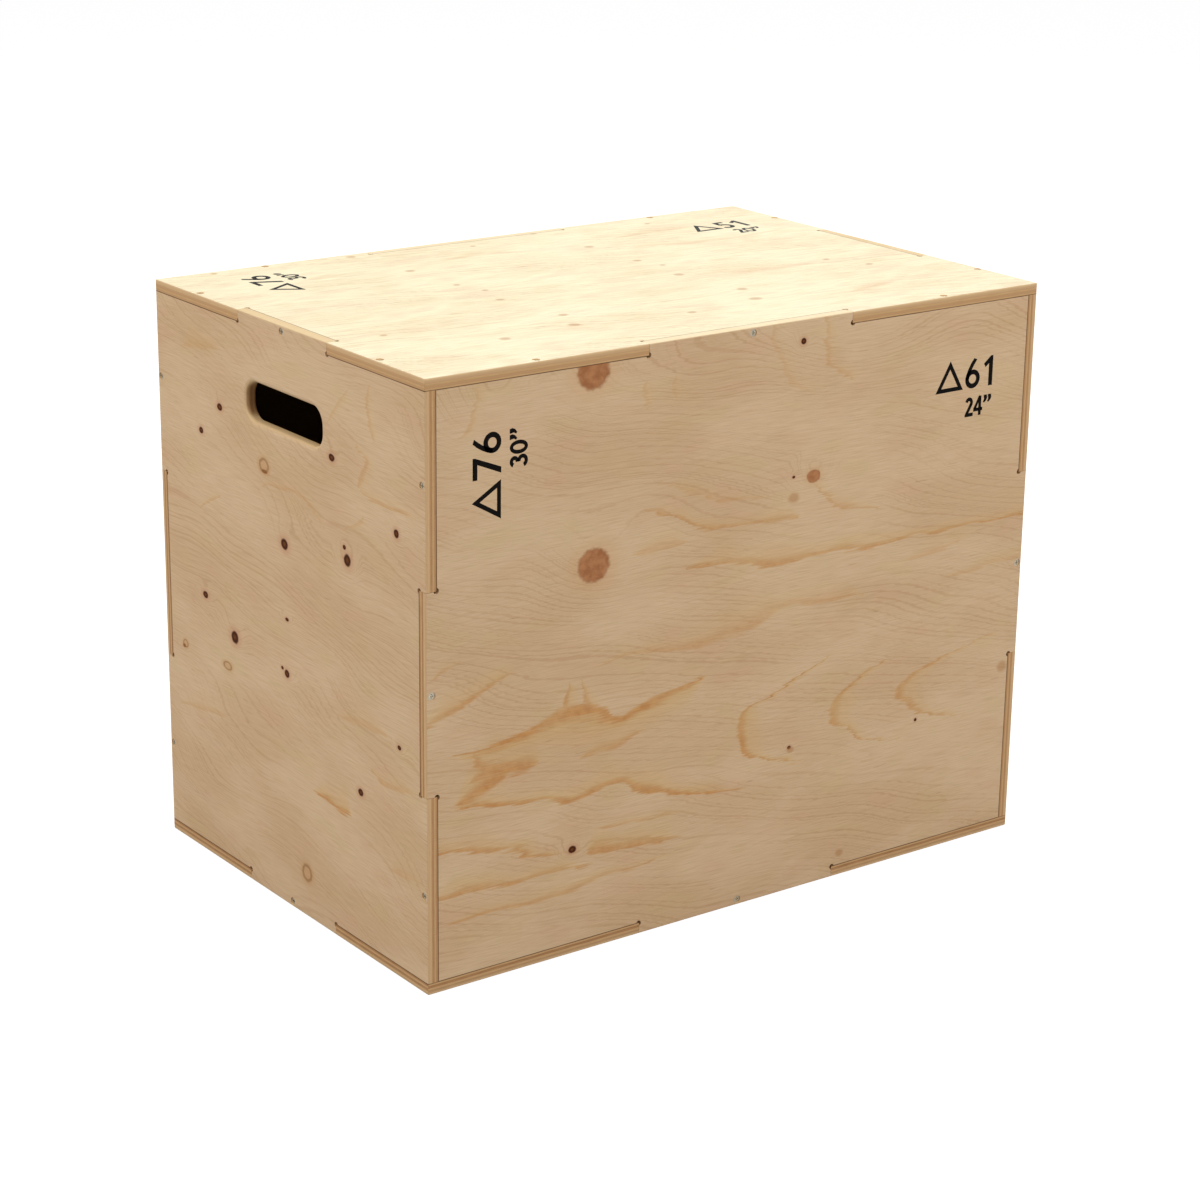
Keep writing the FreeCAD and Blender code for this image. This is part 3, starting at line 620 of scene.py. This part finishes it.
def height_mark(name, centimetres, inches, start, reading, up, material):
    """Triangle and figures, in millimetres from the triangle's lower left corner, laid on a face."""
    shape = bmesh.new()
    base, top, stroke = TRIANGLE
    corners = [shape.verts.new(spot) for spot in ((0.0, 0.0, 0.0), (base, 0.0, 0.0), (base / 2, top, 0.0))]
    middle = shape.faces.new(corners)
    middle.normal_update()
    bmesh.ops.inset_region(shape, faces=[middle], thickness=stroke, use_even_offset=True, use_boundary=True)
    bmesh.ops.delete(shape, geom=[middle], context="FACES")
    first = sum(FIGURES[sign][0] * CAP + GAP for sign in centimetres)
    second = sum(FIGURES[sign][0] * SMALL_CAP + SMALL_GAP for sign in inches)
    write(shape, centimetres, CAP, base + GAP, 0.0, GAP, BLEED)
    write(shape, inches, SMALL_CAP, base + first - second + SMALL_GAP, -LINE_DROP, SMALL_GAP,
          SMALL_BLEED)
    film = bmesh.ops.extrude_face_region(shape, geom=shape.faces[:])
    lifted = [item for item in film["geom"] if isinstance(item, bmesh.types.BMVert)]
    bmesh.ops.translate(shape, vec=(0.0, 0.0, INK_FILM), verts=lifted)
    bmesh.ops.recalc_face_normals(shape, faces=shape.faces[:])
    out = Vector(reading).cross(Vector(up))
    place = Matrix((reading, up, out)).transposed().to_4x4()
    place.translation = Vector(start) - out * INK_BED * MM
    bmesh.ops.transform(shape, matrix=place @ Matrix.Scale(MM, 4), verts=shape.verts[:])
    mesh = bpy.data.meshes.new(name)
    shape.to_mesh(mesh)
    shape.free()
    mesh.materials.append(material)
    piece = bpy.data.objects.new(name, mesh)
    bpy.context.scene.collection.objects.link(piece)
    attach(piece, "root")


MARK_INK, printing = bare("mark_ink", {"Specular IOR Level": 0.06})
ink_place = printing.node("TexCoord", out="Object")
pores = printing.node("TexNoise", None, {"Vector": ink_place, "Scale": 1400.0, "Detail": 3.0})
finish(MARK_INK, {"Base Color": mix(smooth(pores, 0.45, 0.75), INK_BLACK, INK_THIN),
                  "Roughness": smooth(pores, 0.3, 0.7, 0.5, 0.7)})
LEFT, FRONT, ABOVE = cad_low.x, cad_low.y, cad_high.z
RIGHTWARDS, LEFTWARDS, BACKWARDS, UPWARDS = (1, 0, 0), (-1, 0, 0), (0, 1, 0), (0, 0, 1)
MARKS = (
    ("front_height_mark", "61", "24”", (LEFT + 0.6233, FRONT, 0.5088), RIGHTWARDS, UPWARDS),
    ("front_width_mark", "76", "30”", (LEFT + 0.0833, FRONT, 0.4655), UPWARDS, LEFTWARDS),
    ("top_width_mark", "76", "30”", (LEFT + 0.104, FRONT + 0.382, ABOVE), BACKWARDS, LEFTWARDS),
    ("top_depth_mark", "51", "20”", (LEFT + 0.627, FRONT + 0.406, ABOVE), RIGHTWARDS, BACKWARDS),
)
for mark in MARKS:
    height_mark(*mark, MARK_INK)


# Studio: a pale floor in a white room, a wide soft lamp overhead, one high before each of the two sides
# that the camera sees, and a weak one behind. It isn't part of the box.
FLOOR_REACH, ROOM_LIGHT = 40.0, 0.52
LAMPS = (("overhead", (0.0, 0.0, 3.0), 3.0, 19.0), ("left", (-3.2, 0.6, 2.8), 2.0, 57.0),
         ("front", (0.9, -3.2, 2.8), 2.0, 56.0), ("back_right", (2.6, 2.4, 2.7), 2.0, 50.0))
floor_shape = bmesh.new()
bmesh.ops.create_grid(floor_shape, x_segments=1, y_segments=1, size=FLOOR_REACH)
floor_mesh = bpy.data.meshes.new("floor")
floor_shape.to_mesh(floor_mesh)
floor_shape.free()
floor = bpy.data.objects.new("floor", floor_mesh)
bpy.context.scene.collection.objects.link(floor)

FLOOR_GREY, FLOOR_SHINE, NO_SHINE = (0.5, 0.5, 0.5, 1.0), (0.72, 0.72, 0.72, 1.0), (0.0, 0.0, 0.0, 1.0)
floor_paint, paint = bare("floor_paint", {"Base Color": FLOOR_GREY, "Roughness": 0.9,
                                          "Specular IOR Level": 0.0, "Emission Strength": 1.0})
seen = paint.node("LightPath", out="Is Camera Ray")
finish(floor_paint, {"Emission Color": mix(seen, NO_SHINE, FLOOR_SHINE)})
floor_mesh.materials.append(floor_paint)

world = bpy.data.worlds.new("white_room")
bpy.context.scene.world = world
world.use_nodes = True
room = world.node_tree.nodes["Background"]
room.inputs["Color"].default_value = (1.0, 1.0, 1.0, 1.0)
path = Wire(world.node_tree)
SEEN_RAYS = ("Is Camera Ray", "Is Glossy Ray", "Is Transmission Ray")
rays = [path.node("LightPath", out=kind) for kind in SEEN_RAYS]
shown = rays[0].math("MAXIMUM", rays[1]).math("MAXIMUM", rays[2])
strength = smooth(shown, 0.0, 1.0, ROOM_LIGHT, 1.0)
world.node_tree.links.new(strength.socket, room.inputs["Strength"])

for name, spot, width, watts in LAMPS:
    lamp = bpy.data.lights.new(name, "AREA")
    lamp.size = width
    lamp.energy = watts
    stand = bpy.data.objects.new(name, lamp)
    stand.location = spot
    stand.rotation_euler = (-Vector(spot)).to_track_quat("-Z", "Y").to_euler()
    bpy.context.scene.collection.objects.link(stand)

# Camera: a long lens at the photograph's angle, a little above the box and to its left, with a slight
# roll. It isn't part of the box either.
CAMERA_SPOT = (-1.792, -2.444, 1.256)
CAMERA_AZIMUTH, CAMERA_DIP, CAMERA_ROLL = radians(36.35), radians(18.16), radians(0.76)
SENSOR, LENS = 36.0, 89.2
lens = bpy.data.cameras.new("camera")
lens.sensor_width = SENSOR
lens.lens = LENS
camera = bpy.data.objects.new("camera", lens)
bpy.context.scene.collection.objects.link(camera)
camera.matrix_world = (Matrix.Translation(CAMERA_SPOT)
                       @ Matrix.Rotation(-CAMERA_AZIMUTH, 4, "Z")
                       @ Matrix.Rotation(pi / 2 - CAMERA_DIP, 4, "X")
                       @ Matrix.Rotation(CAMERA_ROLL, 4, "Z"))
bpy.context.scene.camera = camera
bpy.context.scene.view_settings.view_transform = "Standard"
